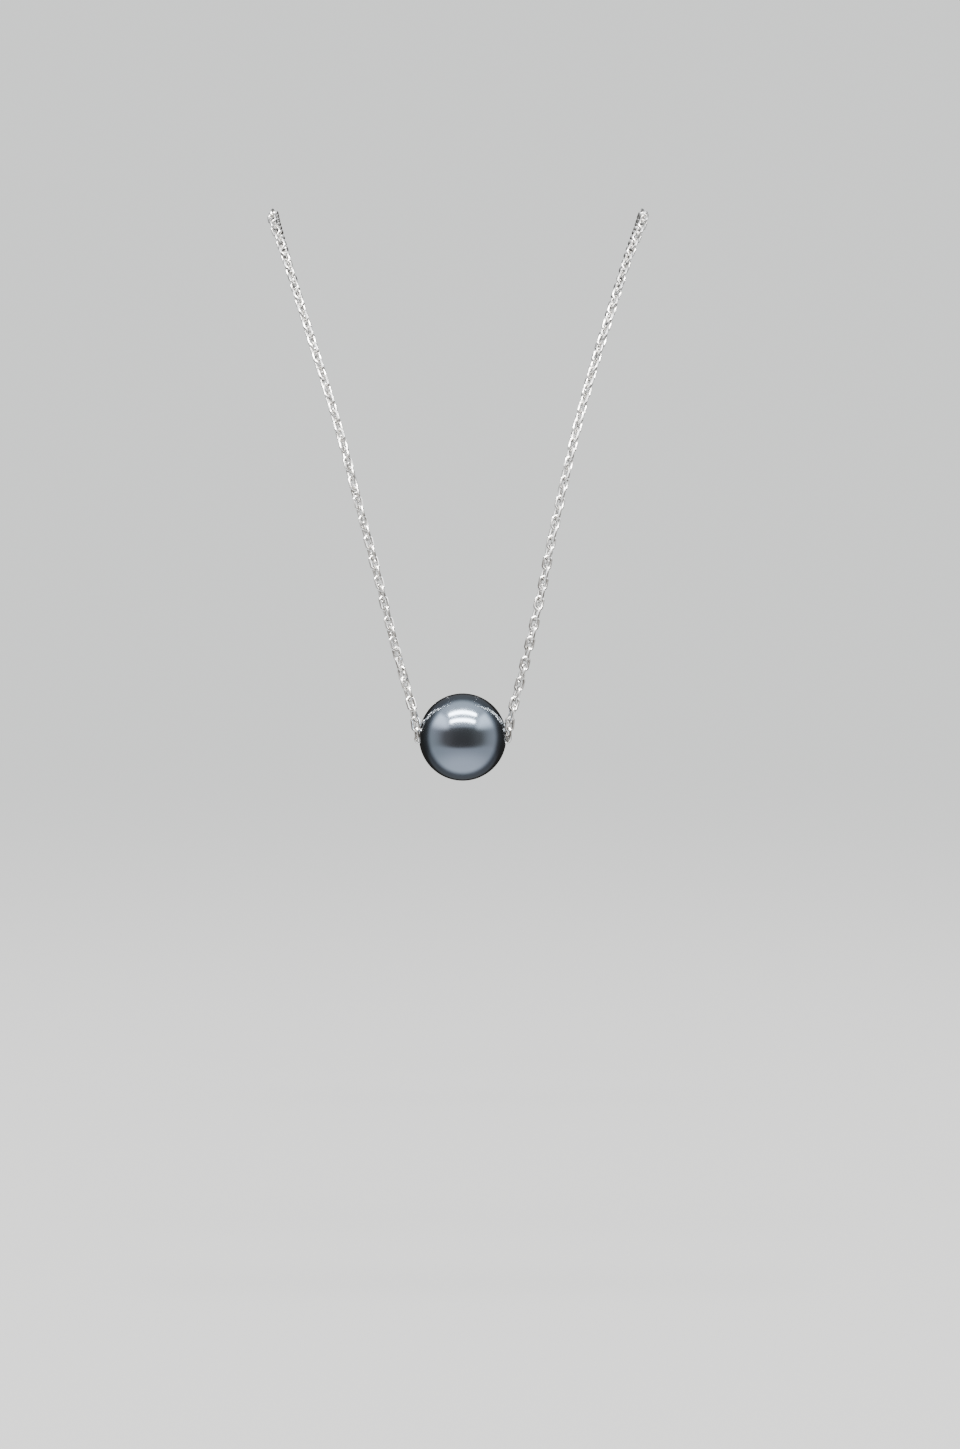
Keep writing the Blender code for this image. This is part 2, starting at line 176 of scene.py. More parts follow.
LINKED_GAP = 0.04 * MM  # the play between a jump ring's wire and a bow through it
CAD_OVERRUN = 0.36 * MM  # how far the CAD model's strand runs on past its last free link

# The camera, from the pearl's centre
CAMERA_OFFSET = Vector((1.98 * MM, -477.2 * MM, 51.6 * MM))
CAMERA_DROP = math.radians(6)
CAMERA_LENS = 104.35
CAMERA_SENSOR = 36
LENS_AXIS = Vector((0, -math.cos(CAMERA_DROP), math.sin(CAMERA_DROP)))
LENS_UP = Vector((0, math.sin(CAMERA_DROP), math.cos(CAMERA_DROP)))

# The studio. A blend lists where it starts and ends, and its values there when they aren't 0 and 1
FLOOR_BELOW = 68 * MM  # from the pearl's centre down to the floor
FLOOR_RADIUS = 6.0
FLOOR_GREY = (0.30, 0.30, 0.298, 1)
FLOOR_FADE = (0.10, 0.60)  # where the floor fades into the backdrop
BACKDROP = (1.08, 1.10, 1.09, 1)
LIGHT_DISTANCE = 1.8  # from the pearl
LIGHT_COLOUR = (1.0, 0.985, 0.965)
# Each softbox's name, its degrees above the camera's line of sight, its size and its power
SOFTBOXES = (
    ("top_box", 69, (2.1, 0.32), 98.0),
    ("front_box", 46, (2.1, 0.28), 82.0),
)
# The room that polished pieces mirror: pale, with a dark warm core in front and a dark back
ROOM_COLOUR = (0.97, 1.0, 1.04, 1)
ROOM_LEVEL = (0.8, 4.0, 1.2, 2.0)  # brighter above and below than beside
CORE_COLOUR = (1.0, 0.90, 0.80, 1)
CORE_WIDTH = 0.92
CORE_HEIGHT = 0.47
CORE_SINK = 0.02  # how far the core lies below the camera's line of sight
CORE_EDGE = (0.55, 1.40)
CORE_LEVEL = (0.02, 0.60, 0.17, 0.30)  # darkest in its middle
BACK_LEVEL = (-0.54, -0.16, 0.17, 1.0)
BACK_NARROWING = -0.14  # how the dark back draws in at the sides
# Two brighter patches in it, high up to either side
GLOW_FOOT = (0.22, 0.56, 0.0, 3.4)
GLOW_HEAD = (0.68, 0.80, 1.0, 0.0)
GLOW_BACK = (-0.25, 0.10)
GLOW_INSIDE = (0.25, 0.60)


def box_centre(node):
    """The middle of a CAD node's box."""
    low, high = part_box(node)
    return (Vector(low) + Vector(high)) / 2


def joint_place(name):
    """Where a CAD joint lies."""
    return next(joint["pos_m"] for joint in frame["joints"] if joint["name"] == name)


PEARL_CENTRE = box_centre("pearl")
CLASP_CENTRE = Vector(joint_place("clasp_lever"))


# ---------------------------------------------------------------- materials

NOISE_SPREAD = (0.3, 0.7)  # between these lie nearly all of a noise texture's values


def new_material(name):
    """A material with its nodes and links, to be worked on."""
    material = bpy.data.materials.new(name)
    material.use_nodes = True
    return material, material.node_tree.nodes, material.node_tree.links


def noise(nodes, links, coordinates, scale, detail=3.0):
    """A cloudy texture in the object's own space, of so many clouds to a metre."""
    node = nodes.new("ShaderNodeTexNoise")
    node.inputs["Scale"].default_value = scale
    node.inputs["Detail"].default_value = detail
    links.new(coordinates.outputs["Object"], node.inputs["Vector"])
    return node.outputs["Fac"]


def ramp(nodes, links, value, low, high):
    """Maps a noise value onto a range."""
    node = nodes.new("ShaderNodeMapRange")
    node.inputs["From Min"].default_value = NOISE_SPREAD[0]
    node.inputs["From Max"].default_value = NOISE_SPREAD[1]
    node.inputs["To Min"].default_value = low
    node.inputs["To Max"].default_value = high
    links.new(value, node.inputs["Value"])
    return node.outputs["Result"]


def tint(nodes, links, value, dark, light):
    """Maps a noise value onto the colours between two."""
    node = nodes.new("ShaderNodeValToRGB")
    for stop, position, colour in zip(node.color_ramp.elements, NOISE_SPREAD, (dark, light)):
        stop.position = position
        stop.color = (*colour, 1)
    links.new(value, node.inputs["Fac"])
    return node.outputs["Color"]


def bump(nodes, links, value, strength, distance):
    """A surface that rises and falls with a noise value."""
    node = nodes.new("ShaderNodeBump")
    node.inputs["Strength"].default_value = strength
    node.inputs["Distance"].default_value = distance
    links.new(value, node.inputs["Height"])
    return node.outputs["Normal"]


def silver_material(name, dark, light, smooth, rough):
    """Polished silver: bright, faintly warm, with fine wear in its polish."""
    material, nodes, links = new_material(name)
    shader = nodes["Principled BSDF"]
    shader.inputs["Metallic"].default_value = 1.0
    place = nodes.new("ShaderNodeTexCoord")
    links.new(
        tint(nodes, links, noise(nodes, links, place, 700), dark, light),
        shader.inputs["Base Color"],
    )
    links.new(
        ramp(nodes, links, noise(nodes, links, place, 2600), smooth, rough),
        shader.inputs["Roughness"],
    )
    scratches = noise(nodes, links, place, 9000, 5.0)
    links.new(bump(nodes, links, scratches, 0.2, 0.003 * MM), shader.inputs["Normal"])
    return material


def nacre_material():
    """Dark blue-grey pearl: mirror-like lustre from layered nacre, under a clear gloss."""
    material, nodes, links = new_material("pearl_nacre")
    shader = nodes["Principled BSDF"]
    shader.inputs["Metallic"].default_value = 1.0
    shader.inputs["Coat Weight"].default_value = 0.35
    shader.inputs["Coat Roughness"].default_value = 0.10
    shader.inputs["Coat IOR"].default_value = 1.55
    place = nodes.new("ShaderNodeTexCoord")
    orient = noise(nodes, links, place, 160, 2.0)
    links.new(
        tint(nodes, links, orient, (0.160, 0.200, 0.240), (0.185, 0.210, 0.262)),
        shader.inputs["Base Color"],
    )
    links.new(
        ramp(nodes, links, noise(nodes, links, place, 500), 0.14, 0.18),
        shader.inputs["Roughness"],
    )
    growth = noise(nodes, links, place, 1400, 4.0)
    links.new(bump(nodes, links, growth, 0.10, 0.002 * MM), shader.inputs["Normal"])
    return material


def core_material():
    """The pearl's drilled inside: matte, pale shell."""
    material, nodes, links = new_material("pearl_core")
    shader = nodes["Principled BSDF"]
    place = nodes.new("ShaderNodeTexCoord")
    grain = noise(nodes, links, place, 3000, 4.0)
    links.new(tint(nodes, links, grain, (0.34, 0.33, 0.31), (0.46, 0.44, 0.41)), shader.inputs["Base Color"])
    links.new(ramp(nodes, links, grain, 0.55, 0.75), shader.inputs["Roughness"])
    return material


def spring_material():
    """Drawn steel wire."""
    material, nodes, links = new_material("spring_wire")
    shader = nodes["Principled BSDF"]
    shader.inputs["Metallic"].default_value = 1.0
    place = nodes.new("ShaderNodeTexCoord")
    shade = noise(nodes, links, place, 4000)
    links.new(tint(nodes, links, shade, (0.5, 0.51, 0.53), (0.6, 0.6, 0.6)), shader.inputs["Base Color"])
    links.new(ramp(nodes, links, shade, 0.2, 0.35), shader.inputs["Roughness"])
    return material


CHAIN_SILVER = silver_material("silver_chain", (0.76, 0.745, 0.715), (0.90, 0.885, 0.855), 0.17, 0.28)
CLASP_SILVER = silver_material("silver_clasp", (0.86, 0.85, 0.82), (0.92, 0.91, 0.88), 0.14, 0.26)
NACRE = nacre_material()
CORE = core_material()
SPRING_WIRE = spring_material()


# ---------------------------------------------------------------- helpers


def add_object(name, data):
    """A mesh, curve, camera or light placed in the scene."""
    obj = bpy.data.objects.new(name, data)
    bpy.context.scene.collection.objects.link(obj)
    return obj


def dress(obj, name, material, slot, *nodes):
    """Names a piece, gives it its material, and hides the CAD nodes it stands for. The slot is not used."""
    obj.name = name
    obj.data.name = name
    obj.data.materials.clear()
    obj.data.materials.append(material)
    if nodes:
        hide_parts(*nodes)


def settle(obj, name, material, body, slot, *nodes):
    """Finishes a piece that rides on a body."""
    dress(obj, name, material, slot, *nodes)
    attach(obj, body)


def smooth(mesh, angle):
    """Smooth shading, but for edges sharper than the angle in degrees."""
    mesh.shade_smooth()
    mesh.set_sharp_from_angle(angle=math.radians(angle))


def face_outward(mesh, weld=0.0):
    """Turns every face outward, after welding points closer than a distance."""
    work = bmesh.new()
    work.from_mesh(mesh)
    if weld:
        bmesh.ops.remove_doubles(work, verts=work.verts, dist=weld)
    bmesh.ops.recalc_face_normals(work, faces=work.faces)
    work.to_mesh(mesh)
    work.free()


def evaluated_mesh(obj):
    """The object's mesh with its modifiers or bevel worked in."""
    bpy.context.view_layer.update()
    graph = bpy.context.evaluated_depsgraph_get()
    return bpy.data.meshes.new_from_object(obj.evaluated_get(graph))


def tube(points, radius, fineness):
    """A round wire along the points, as a welded mesh object with 4 sides and 2 for each fineness."""
    data = bpy.data.curves.new("wire", "CURVE")
    data.dimensions = "3D"
    data.bevel_depth = radius
    data.bevel_resolution = fineness
    data.use_fill_caps = True
    spline = data.splines.new("POLY")
    spline.points.add(len(points) - 1)
    for knot, point in zip(spline.points, points):
        knot.co = (*point, 1)
    curve = add_object("wire", data)
    mesh = evaluated_mesh(curve)
    bpy.data.objects.remove(curve)
    face_outward(mesh, weld=1e-4 * MM)
    return add_object("tube", mesh)


def combine(obj, others, operation):
    """Cuts the other objects from this one, or joins them on, and removes them."""
    for other in others:
        modifier = obj.modifiers.new("combine", "BOOLEAN")
        modifier.operation = operation
        modifier.solver = "EXACT"
        modifier.object = other
    mesh = evaluated_mesh(obj)
    obj.modifiers.clear()
    obj.data = mesh
    for other in others:
        bpy.data.objects.remove(other)


def arc(centre, radius, start, end, steps, plane="XZ"):
    """Points round an arc, from +X toward +Z, or toward +Y in the X-Y plane."""
    points = []
    for i in range(steps + 1):
        angle = start + (end - start) * i / steps
        out, rise = radius * math.cos(angle), radius * math.sin(angle)
        offset = (out, 0, rise) if plane == "XZ" else (out, rise, 0)
        points.append(centre + Vector(offset))
    return points


# ---------------------------------------------------------------- the strands' line


def end_link_line(side):
    """Where the last link holds its jump ring, and its direction up the strand."""
    ring = box_centre(f"jump_ring_{SIDE_WORDS[side]}")
    hold = Vector((side * math.cos(JUMP_HOLD), 0, math.sin(JUMP_HOLD)))
    lean = Vector((side * math.cos(END_LINK_LEAN), 0, math.sin(END_LINK_LEAN)))
    return ring + JUMP_RADIUS * hold, lean


def end_of_strand(side, overrun=0.0):
    """Where the strand's last free link meets the end link's upper bow, or a place beyond it."""
    hold, lean = end_link_line(side)
    return hold + lean * (LINK_PITCH + overrun - JUMP_WIRE - LINKED_GAP)


def route():
    """Rows (y, z, left x, right x) from the pearl's bore, over the neck rest, to the clasp."""
    rows = []
    for rise, out in HOLE_SHAPE:
        rows.append((PEARL_CENTRE.y + HOLE_LEAN * rise, PEARL_CENTRE.z + rise, -out, out))
    for drop, reach, left, right in FRONT_SHAPE:
        left_x = STRAND_SIDE + left * (REST_LEFT - STRAND_SIDE)
        right_x = STRAND_SIDE + right * (REST_RIGHT - STRAND_SIDE)
        rows.append((-reach * FRONT_REACH, -drop * FRONT_DROP, -left_x, right_x))
    for back, down in REST_SHAPE:
        rows.append((back * REST_BEND, -down * REST_BEND, -REST_LEFT, REST_RIGHT))
    left_end, right_end = end_of_strand(-1, CAD_OVERRUN), end_of_strand(1, CAD_OVERRUN)
    for i, (left, right) in enumerate(REAR_SHAPE, start=1):
        y = REST_BEND + REAR_RADIUS * math.sin(i * REAR_STEP)
        z = -REAR_RADIUS * (1 - math.cos(i * REAR_STEP))
        left_x = left_end.x - left * (REST_LEFT + left_end.x)
        right_x = right_end.x + right * (REST_RIGHT - right_end.x)
        rows.append((y, z, left_x, right_x))
    left_end, right_end = end_of_strand(-1), end_of_strand(1)
    rows.append((left_end.y, left_end.z, left_end.x, right_end.x))
    return rows


def smoothed(rows):
    """The route as a dense smooth line through its rows (a Catmull-Rom spline)."""
    rows = [Vector(row) for row in rows]
    rows = [2 * rows[0] - rows[1], *rows, 2 * rows[-1] - rows[-2]]
    line = []
    for before, start, end, after in zip(rows, rows[1:], rows[2:], rows[3:]):
        for i in range(DENSE_STEPS):
            t = i / DENSE_STEPS
            point = 2 * start + (end - before) * t
            point += (2 * before - 5 * start + 4 * end - after) * t**2
            point += (3 * start - before - 3 * end + after) * t**3
            line.append(point / 2)
    line.append(rows[-2])
    return line


def strand_points(side):
    """One strand's line in space, from the pearl to the clasp."""
    return [Vector((row[SIDE_COLUMNS[side]], row[0], row[1])) for row in smoothed(route())]


def nearest_index(points, place):
    """The point of the line nearest to a hinge in side view."""
    return min(
        range(len(points)),
        key=lambda i: (points[i].y - place[1]) ** 2 + (points[i].z - place[2]) ** 2,
    )


def line_length(points):
    """The length of the line through the points."""
    return sum((b - a).length for a, b in zip(points, points[1:]))


def evenly(points, count):
    """The line's points at equal lengths, count + 1 of them."""
    lengths = [0.0]
    for a, b in zip(points, points[1:]):
        lengths.append(lengths[-1] + (b - a).length)
    found = []
    i = 1
    for step in range(count + 1):
        want = lengths[-1] * step / count
        while i < len(lengths) - 1 and lengths[i] < want:
            i += 1
        share = (want - lengths[i - 1]) / (lengths[i] - lengths[i - 1])
        found.append(points[i - 1].lerp(points[i], min(max(share, 0.0), 1.0)))
    return found


def strand_runs(side):
    """(body, hinge to hinge points) of each run of one strand, from the pearl to the clasp."""
    points = strand_points(side)
    front, rear = range(FRONT_RUNS, 0, -1), range(1, REAR_RUNS + 1)
    bodies = [f"front_{k}" for k in front] + ["rest"] + [f"rear_{k}" for k in rear]
    hinges = [f"front_fold_{k}" for k in front] + [f"rear_fold_{k}" for k in rear]
    cuts = [0, *(nearest_index(points, joint_place(name)) for name in hinges), len(points) - 1]
    return [(body, points[a : b + 1]) for body, a, b in zip(bodies, cuts, cuts[1:])]


# ---------------------------------------------------------------- links


def link_path(length):
    """The centre line of a link: a long octagon with eased corners, as (along, across) points."""
    half = (length - LINK_WIRE) / 2
    side = (LINK_WIDTH - LINK_WIRE) / 2
    flat = LINK_FLAT * side
    cut = side - flat
    corners = [
        (half, flat), (half - cut, side), (-half + cut, side), (-half, flat),
        (-half, -flat), (-half + cut, -side), (half - cut, -side), (half, -flat),
    ]
    path = []
    for before, here, after in zip(corners[-1:] + corners, corners, corners[1:] + corners[:1]):
        here = Vector(here)
        for other in (before, after):
            leg = Vector(other) - here
            path.append(here + leg.normalized() * min(CORNER_EASE, leg.length / 3))
    return path


def link_mesh(length):
    """Vertices and faces of one link: long side +Z, across +X, and its faces toward +Y and -Y."""
    path = link_path(length)
    radius = LINK_WIRE / 2
    points, faces = [], []
    count, sides = len(path), len(WIRE_SECTION)
    for i, here in enumerate(path):
        tangent = (path[(i + 1) % count] - path[i - 1]).normalized()
        out = Vector((tangent.y, -tangent.x))
        if out.dot(here) < 0:
            out = -out
        for outward, sideways in WIRE_SECTION:
            place = here + out * (outward * radius)
            points.append(Vector((place.y, sideways * radius, place.x)))
        for j in range(sides):
            a = i * sides + j
            b = i * sides + (j + 1) % sides
            c = ((i + 1) % count) * sides + (j + 1) % sides
            d = ((i + 1) % count) * sides + j
            faces.append((a, b, c, d))
    return points, faces


def link_matrix(start, end, roll, tilt, across):
    """Places a link between two contact points, rolled about the line between them from across."""
    along = (end - start).normalized()
    across = Vector(across)
    across = (across - along * along.dot(across)).normalized()
    normal = along.cross(across)
    basis = Matrix((across, normal, along)).transposed().to_4x4()
    middle = Matrix.Translation((start + end) / 2)
    return middle @ basis @ Matrix.Rotation(roll, 4, "Z") @ Matrix.Rotation(tilt, 4, "X")


def add_links(name, placed, body, node, across=(1, 0, 0)):
    """A piece of separate links. placed holds (start, end, roll, tilt) for each."""
    points, faces = [], []
    for start, end, roll, tilt in placed:
        shape, sides = link_mesh((end - start).length + 2 * LINK_WIRE + LINK_PLAY)
        matrix = link_matrix(start, end, roll, tilt, across)
        first = len(points)
        points += [matrix @ point for point in shape]
        faces += [tuple(first + i for i in face) for face in sides]
    mesh = bpy.data.meshes.new(name)
    mesh.from_pydata(points, [], faces)
    face_outward(mesh)
    smooth(mesh, 24)
    settle(add_object(name, mesh), name, CHAIN_SILVER, body, "silver_chain", node)


def twist(side, place):
    """The extra roll of a link where the left strand lies twisted, a little above the pearl."""
    if side > 0 or place.y > 0:
        return 0.0
    away = (place.z - PEARL_CENTRE.z - TWIST_RISE) / TWIST_REACH
    return TWIST_TURN * math.exp(-(away**2))


def add_strand(side, chance):
    """One strand's links, a piece for each body. Each link is about a quarter turn from the next.

    Where their count is odd, a slow twist takes up the quarter turn that would be left over at the
    end link.
    """
    runs = strand_runs(side)
    counts = [round(line_length(points) / LINK_PITCH) for _, points in runs]
    spare_turn = math.pi / 2 if sum(counts) % 2 else 0.0
    number = 0
    for (body, points), count in zip(runs, counts):
        contacts = evenly(points, count)
        placed = []
        for start, end in zip(contacts, contacts[1:]):
            quarter, lie = (math.pi / 2, EDGE_ROLL) if number % 2 == 0 else (0.0, FACE_ROLL)
            quarter += spare_turn * number / sum(counts)
            lie = lie if start.y < 0 else REAR_ROLL
            roll = lie + quarter + twist(side, start) + chance.uniform(-ROLL_SPREAD, ROLL_SPREAD)
            placed.append((start, end, roll, chance.uniform(-TILT_SPREAD, TILT_SPREAD)))
            number += 1
        place, _, level = body.partition("_")
        tail = f"{SIDE_WORDS[side]}_{level}" if level else SIDE_WORDS[side]
        add_links(f"links_{place}_{tail}", placed, body, f"{place}_chain_{tail}")


def add_bore_chain(chance):
    """The chain through the pearl: it dips in at both mouths and bears on the bore's roof."""
    dip, reach = HOLE_SHAPE[0]
    line = []
    for i in range(-20, 21):
        share = i / 20
        sag = share**6
        line.append(PEARL_CENTRE + Vector((share * reach, 0, BORE_LIFT + (dip - BORE_LIFT) * sag)))
    contacts = evenly(line, round(line_length(line) / LINK_PITCH))
    placed = []
    for number, (start, end) in enumerate(zip(contacts, contacts[1:])):
        roll = (math.pi / 2 if number % 2 == 0 else 0.0) + chance.uniform(-ROLL_SPREAD, ROLL_SPREAD)
        placed.append((start, end, roll, 0.0))
    add_links("links_in_bore", placed, "front_5", "chain_through_pearl", across=(0, 1, 0))


def add_end_links():
    """The last link of each strand, which holds a jump ring."""
    for side, word in SIDE_WORDS.items():
        hold, lean = end_link_line(side)
        low = hold - lean * (JUMP_WIRE + LINKED_GAP)
        high = low + lean * LINK_PITCH
        add_links(f"last_link_{word}", [(low, high, math.pi / 2, 0.0)], "rear_8", f"end_link_{word}")


# ---------------------------------------------------------------- pearl


def pearl_profile():
    """The drilled pearl's outline: (radius, along) points round its skin and back down its bore."""
    mouth = math.asin((BORE_RADIUS + BORE_CHAMFER) / PEARL_RADIUS)
    profile = []
    for i in range(PEARL_RINGS + 1):
        angle = mouth + (math.pi - 2 * mouth) * i / PEARL_RINGS
        profile.append((PEARL_RADIUS * math.sin(angle), PEARL_RADIUS * math.cos(angle)))
    edge = profile[0][1]
    eased = [(BORE_RADIUS + out * BORE_CHAMFER, edge - inward * BORE_CHAMFER) for out, inward in BORE_EASE]
    return profile + [(radius, -along) for radius, along in eased] + [(BORE_RADIUS, 0)] + eased[::-1]


def add_pearl():
    """The drilled pearl, turned about its bore."""
    profile = pearl_profile()
    count = len(profile)
    points, faces = [], []
    for k in range(PEARL_STEPS):
        turn = 2 * math.pi * k / PEARL_STEPS
        points += [(along, radius * math.cos(turn), radius * math.sin(turn)) for radius, along in profile]
        start, other = k * count, ((k + 1) % PEARL_STEPS) * count
        for i in range(count):
            after = (i + 1) % count
            faces.append((start + i, start + after, other + after, other + i))
    mesh = bpy.data.meshes.new("pearl")
    mesh.from_pydata(points, [], faces)
    face_outward(mesh)
    mesh.transform(Matrix.Translation(PEARL_CENTRE))
    smooth(mesh, 40)
    settle(add_object("pearl", mesh), "pearl_skin", NACRE, "pearl", "pearl_nacre", "pearl")
    mesh.materials.append(CORE)
    for face in mesh.polygons:
        offset = face.center - PEARL_CENTRE
        face.material_index = int(math.hypot(offset.y, offset.z) < 1.01 * BORE_RADIUS)


# ---------------------------------------------------------------- clasp


def add_spring_ring():
    """The clasp's hollow tube, drilled from its mouth and slotted for the lever, and the bolt in it."""
    bolt_tail = BOLT_SWEEP - MOUTH / 2 - BOLT_SEAT
    bore_end = bolt_tail + SPRING_SWEEP + 2 * SPRING_END_GAP
    first, last = MOUTH / 2, 2 * math.pi - MOUTH / 2
    bore = TUBE_RADIUS - TUBE_WALL
    outer_wall = RING_RADIUS + TUBE_RADIUS - TUBE_WALL / 2
    slack = SLOT_SLACK * SLOT_RADIUS / (RING_RADIUS + TUBE_RADIUS)
    slot_start, slot_end = LEVER_ANGLE - slack, LEVER_ANGLE + BOLT_TRAVEL + slack
    body = tube(arc(CLASP_CENTRE, RING_RADIUS, first, last, 90), TUBE_RADIUS, 10)
    cutters = [
        tube(arc(CLASP_CENTRE, RING_RADIUS, first - CUT_PAST, bore_end, 60), bore, 8),
        tube(arc(CLASP_CENTRE, RING_RADIUS, last - SEAT_DEPTH, last + CUT_PAST, 12), bore, 8),
        tube(arc(CLASP_CENTRE, outer_wall, slot_start, slot_end, 30), SLOT_RADIUS, 6),
    ]
    combine(body, cutters, "DIFFERENCE")
    smooth(body.data, 35)
    settle(body, "clasp_tube", CLASP_SILVER, "clasp", "silver_clasp", "spring_ring_body")

    tip = -MOUTH / 2 - BOLT_SEAT
    bolt = tube(arc(CLASP_CENTRE, RING_RADIUS, tip, tip + BOLT_SWEEP, 48), BOLT_RADIUS, 8)
    outward = Vector((math.cos(LEVER_ANGLE), 0, math.sin(LEVER_ANGLE)))
    root = CLASP_CENTRE + outward * RING_RADIUS
    knob = root + outward * LEVER_REACH
    lever = tube([root, knob], LEVER_RADIUS, 6)
    bpy.ops.mesh.primitive_uv_sphere_add(segments=32, ring_count=20, radius=KNOB_RADIUS, location=knob)
    ball = bpy.context.object
    combine(bolt, [lever, ball], "UNION")
    smooth(bolt.data, 35)
    settle(bolt, "clasp_bolt_wire", CLASP_SILVER, "clasp_bolt", "silver_clasp", "spring_ring_bolt")


def add_spring():
    """The coil that pushes the bolt shut, wound round the tube's centre line."""
    start = BOLT_SWEEP - MOUTH / 2 - BOLT_SEAT + SPRING_END_GAP
    steps = COIL_TURNS * COIL_STEPS
    points = []
    for i in range(steps + 1):
        angle = start + SPRING_SWEEP * i / steps
        phase = 2 * math.pi * i / COIL_STEPS
        reach = RING_RADIUS + COIL_RADIUS * math.cos(phase)
        aside = COIL_RADIUS * math.sin(phase)
        points.append(CLASP_CENTRE + Vector((reach * math.cos(angle), aside, reach * math.sin(angle))))
    spring = tube(points, COIL_WIRE, 2)
    smooth(spring.data, 50)
    dress(spring, "clasp_coil", SPRING_WIRE, "spring_steel", "spring_ring_spring")
    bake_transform(spring)


def add_rings():
    """The joining rings, each bent round from wire, with its seam where it starts and ends."""
    # Each ring's name, CAD node, body, plane, start and wire
    rings = (
        ("eye_ring", "spring_ring_eye", "clasp", "XY", 0.0, EYE_WIRE),
        ("catch_hoop", "catch_ring", "clasp", "XY", math.radians(65), CATCH_WIRE),
        ("jump_hoop_left", "jump_ring_left", "rear_8", "XZ", math.radians(250), JUMP_WIRE),
        ("jump_hoop_right", "jump_ring_right", "rear_8", "XZ", math.radians(290), JUMP_WIRE),
    )
    for name, node, body, plane, start, wire_radius in rings:
        low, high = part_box(node)
        radius = (high[0] - low[0]) / 2 - wire_radius
        end = start + 2 * math.pi - RING_SEAM
        ring = tube(arc(box_centre(node), radius, start, end, 72, plane), wire_radius, 8)
        smooth(ring.data, 50)
        settle(ring, name, CLASP_SILVER, body, "silver_clasp", node)


def add_solder():
    """The bead of solder between the clasp's tube and its eye."""
    tube_low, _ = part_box("spring_ring_body")
    _, eye_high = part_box("spring_ring_eye")
    middle = Vector(((tube_low[0] + eye_high[0]) / 2, CLASP_CENTRE.y, CLASP_CENTRE.z))
    bpy.ops.mesh.primitive_uv_sphere_add(segments=24, ring_count=16, radius=SOLDER_RADIUS, location=middle)
    bead = bpy.context.object
    bead.data.transform(Matrix.Diagonal((*SOLDER_STRETCH, 1.0)))
    smooth(bead.data, 60)
    settle(bead, "solder_bead", CLASP_SILVER, "clasp", "silver_clasp")


# ---------------------------------------------------------------- studio


def add_camera():
    """A long lens, tipped down a little toward the necklace."""
    data = bpy.data.cameras.new("camera")
    data.lens = CAMERA_LENS
    data.sensor_width = CAMERA_SENSOR
    data.clip_start = 0.01
    data.clip_end = 20
    camera = add_object("camera", data)
    camera.location = PEARL_CENTRE + CAMERA_OFFSET
    camera.rotation_euler = (math.pi / 2 - CAMERA_DROP, 0, 0)
    bpy.context.scene.camera = camera


def blend_range(nodes, links, value, start, end, low=0.0, high=1.0):
    """Low up to the start and high from the end on, smooth between them."""
    node = nodes.new("ShaderNodeMapRange")
    node.interpolation_type = "SMOOTHSTEP"
    node.inputs["From Min"].default_value = start
    node.inputs["From Max"].default_value = end
    node.inputs["To Min"].default_value = low
    node.inputs["To Max"].default_value = high
    links.new(value, node.inputs["Value"])
    return node.outputs["Result"]


def calculate(nodes, links, operation, first, second):
    """A sum, product or the like of two values, each a socket or a float."""
    node = nodes.new("ShaderNodeMath")
    node.operation = operation
    for socket, value in zip(node.inputs, (first, second)):
        if isinstance(value, float):
            socket.default_value = value
        else:
            links.new(value, socket)
    return node.outputs[0]


def blend_between(nodes, links, share, low):
    """Low where the share is 0, and 1 where it is 1."""
    rest = calculate(nodes, links, "SUBTRACT", 1.0, low)
    return calculate(nodes, links, "ADD", low, calculate(nodes, links, "MULTIPLY", rest, share))


def toward(nodes, links, direction, axis):
    """How far a direction points along an axis, from -1 to 1."""
    node = nodes.new("ShaderNodeVectorMath")
    node.operation = "DOT_PRODUCT"
    links.new(direction, node.inputs[0])
    node.inputs[1].default_value = axis
    return node.outputs["Value"]


def mix_shaders(nodes, links, share, first, second):
    """The first shader where the share is 0, and the second where it is 1."""
    node = nodes.new("ShaderNodeMixShader")
    links.new(share, node.inputs["Fac"])
    links.new(first, node.inputs[1])
    links.new(second, node.inputs[2])
    return node.outputs[0]


def add_floor():
    """A pale floor that fades into the backdrop. Gloss doesn't mirror it, only the studio room."""
    bpy.ops.mesh.primitive_circle_add(
        vertices=96, radius=FLOOR_RADIUS, fill_type="NGON", location=(0, 0, PEARL_CENTRE.z - FLOOR_BELOW)
    )
    floor = bpy.context.object
    floor.name = "floor"
    floor.visible_glossy = False
    material, nodes, links = new_material("floor")
    shader = nodes["Principled BSDF"]
    shader.inputs["Base Color"].default_value = FLOOR_GREY
    shader.inputs["Roughness"].default_value = 0.7
    glow = nodes.new("ShaderNodeEmission")
    glow.inputs["Color"].default_value = BACKDROP
    place = nodes.new("ShaderNodeTexCoord")
    length = nodes.new("ShaderNodeVectorMath")
    length.operation = "LENGTH"
    links.new(place.outputs["Object"], length.inputs[0])
    far = blend_range(nodes, links, length.outputs["Value"], *FLOOR_FADE)
    surface = mix_shaders(nodes, links, far, shader.outputs[0], glow.outputs[0])
    links.new(surface, nodes["Material Output"].inputs["Surface"])
    floor.data.materials.append(material)


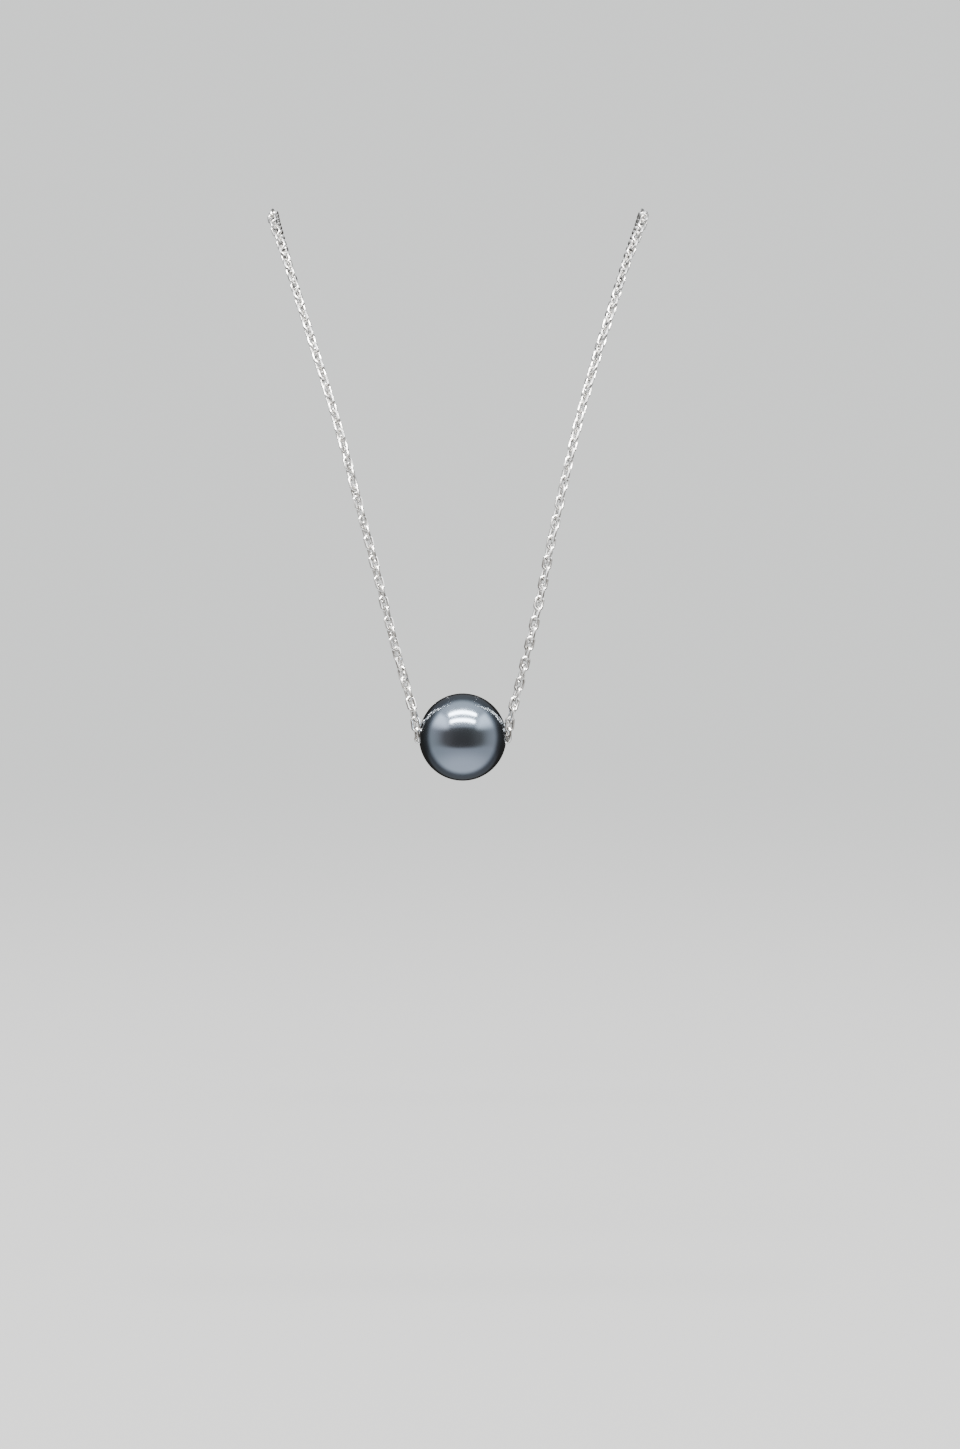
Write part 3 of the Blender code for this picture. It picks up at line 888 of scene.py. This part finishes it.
def add_light(name, height, size, power):
    """A softbox in front of the pearl, at a height in degrees above the camera's line of sight."""
    data = bpy.data.lights.new(name, "AREA")
    data.shape = "RECTANGLE"
    data.size, data.size_y = size
    data.energy = power
    data.color = LIGHT_COLOUR
    light = add_object(name, data)
    angle = math.radians(height)
    direction = LENS_AXIS * math.cos(angle) + LENS_UP * math.sin(angle)
    light.location = PEARL_CENTRE + direction * LIGHT_DISTANCE
    light.rotation_euler = direction.to_track_quat("Z", "Y").to_euler()


def room_light(nodes, links):
    """The mirrored room's colour and strength, by the direction of a reflection."""
    place = nodes.new("ShaderNodeTexCoord").outputs["Generated"]
    ahead = toward(nodes, links, place, LENS_AXIS)
    aside = toward(nodes, links, place, Vector((1 / CORE_WIDTH, 0, 0)))
    rise = toward(nodes, links, place, LENS_UP)
    above = calculate(nodes, links, "ADD", rise, CORE_SINK)
    above = calculate(nodes, links, "DIVIDE", above, CORE_HEIGHT)
    wide = calculate(nodes, links, "MULTIPLY", aside, aside)
    tall = calculate(nodes, links, "MULTIPLY", above, above)

    off_centre = calculate(nodes, links, "ADD", wide, calculate(nodes, links, "MULTIPLY", tall, tall))
    outside = blend_range(nodes, links, off_centre, *CORE_EDGE)
    around = blend_between(nodes, links, outside, blend_range(nodes, links, wide, *CORE_LEVEL))
    front = calculate(nodes, links, "MULTIPLY", around, blend_range(nodes, links, tall, *ROOM_LEVEL))

    glow = blend_range(nodes, links, rise, *GLOW_FOOT)
    for value, blend in ((rise, GLOW_HEAD), (ahead, GLOW_BACK), (wide, GLOW_INSIDE)):
        glow = calculate(nodes, links, "MULTIPLY", glow, blend_range(nodes, links, value, *blend))

    narrowing = calculate(nodes, links, "MULTIPLY", wide, BACK_NARROWING)
    back = blend_range(nodes, links, calculate(nodes, links, "ADD", ahead, narrowing), *BACK_LEVEL)
    strength = calculate(nodes, links, "MULTIPLY", calculate(nodes, links, "ADD", front, glow), back)

    warmth = nodes.new("ShaderNodeMix")
    warmth.data_type = "RGBA"
    links.new(around, warmth.inputs["Factor"])
    warmth.inputs[6].default_value = CORE_COLOUR
    warmth.inputs[7].default_value = ROOM_COLOUR
    return warmth.outputs[2], strength


def add_world():
    """A pale backdrop for the camera, and the mirrored room for everything else."""
    world = bpy.data.worlds.new("studio")
    bpy.context.scene.world = world
    world.use_nodes = True
    nodes, links = world.node_tree.nodes, world.node_tree.links
    room = nodes["Background"]
    colour, strength = room_light(nodes, links)
    links.new(colour, room.inputs["Color"])
    links.new(strength, room.inputs["Strength"])
    backdrop = nodes.new("ShaderNodeBackground")
    backdrop.inputs["Color"].default_value = BACKDROP
    seen = nodes.new("ShaderNodeLightPath").outputs["Is Camera Ray"]
    surface = mix_shaders(nodes, links, seen, room.outputs[0], backdrop.outputs[0])
    links.new(surface, nodes["World Output"].inputs["Surface"])


def main():
    add_camera()
    chance = random.Random(SEED)
    for side in SIDE_WORDS:
        add_strand(side, chance)
    add_bore_chain(chance)
    add_end_links()
    add_pearl()
    add_spring_ring()
    add_spring()
    add_rings()
    add_solder()
    add_floor()
    for softbox in SOFTBOXES:
        add_light(*softbox)
    add_world()


main()
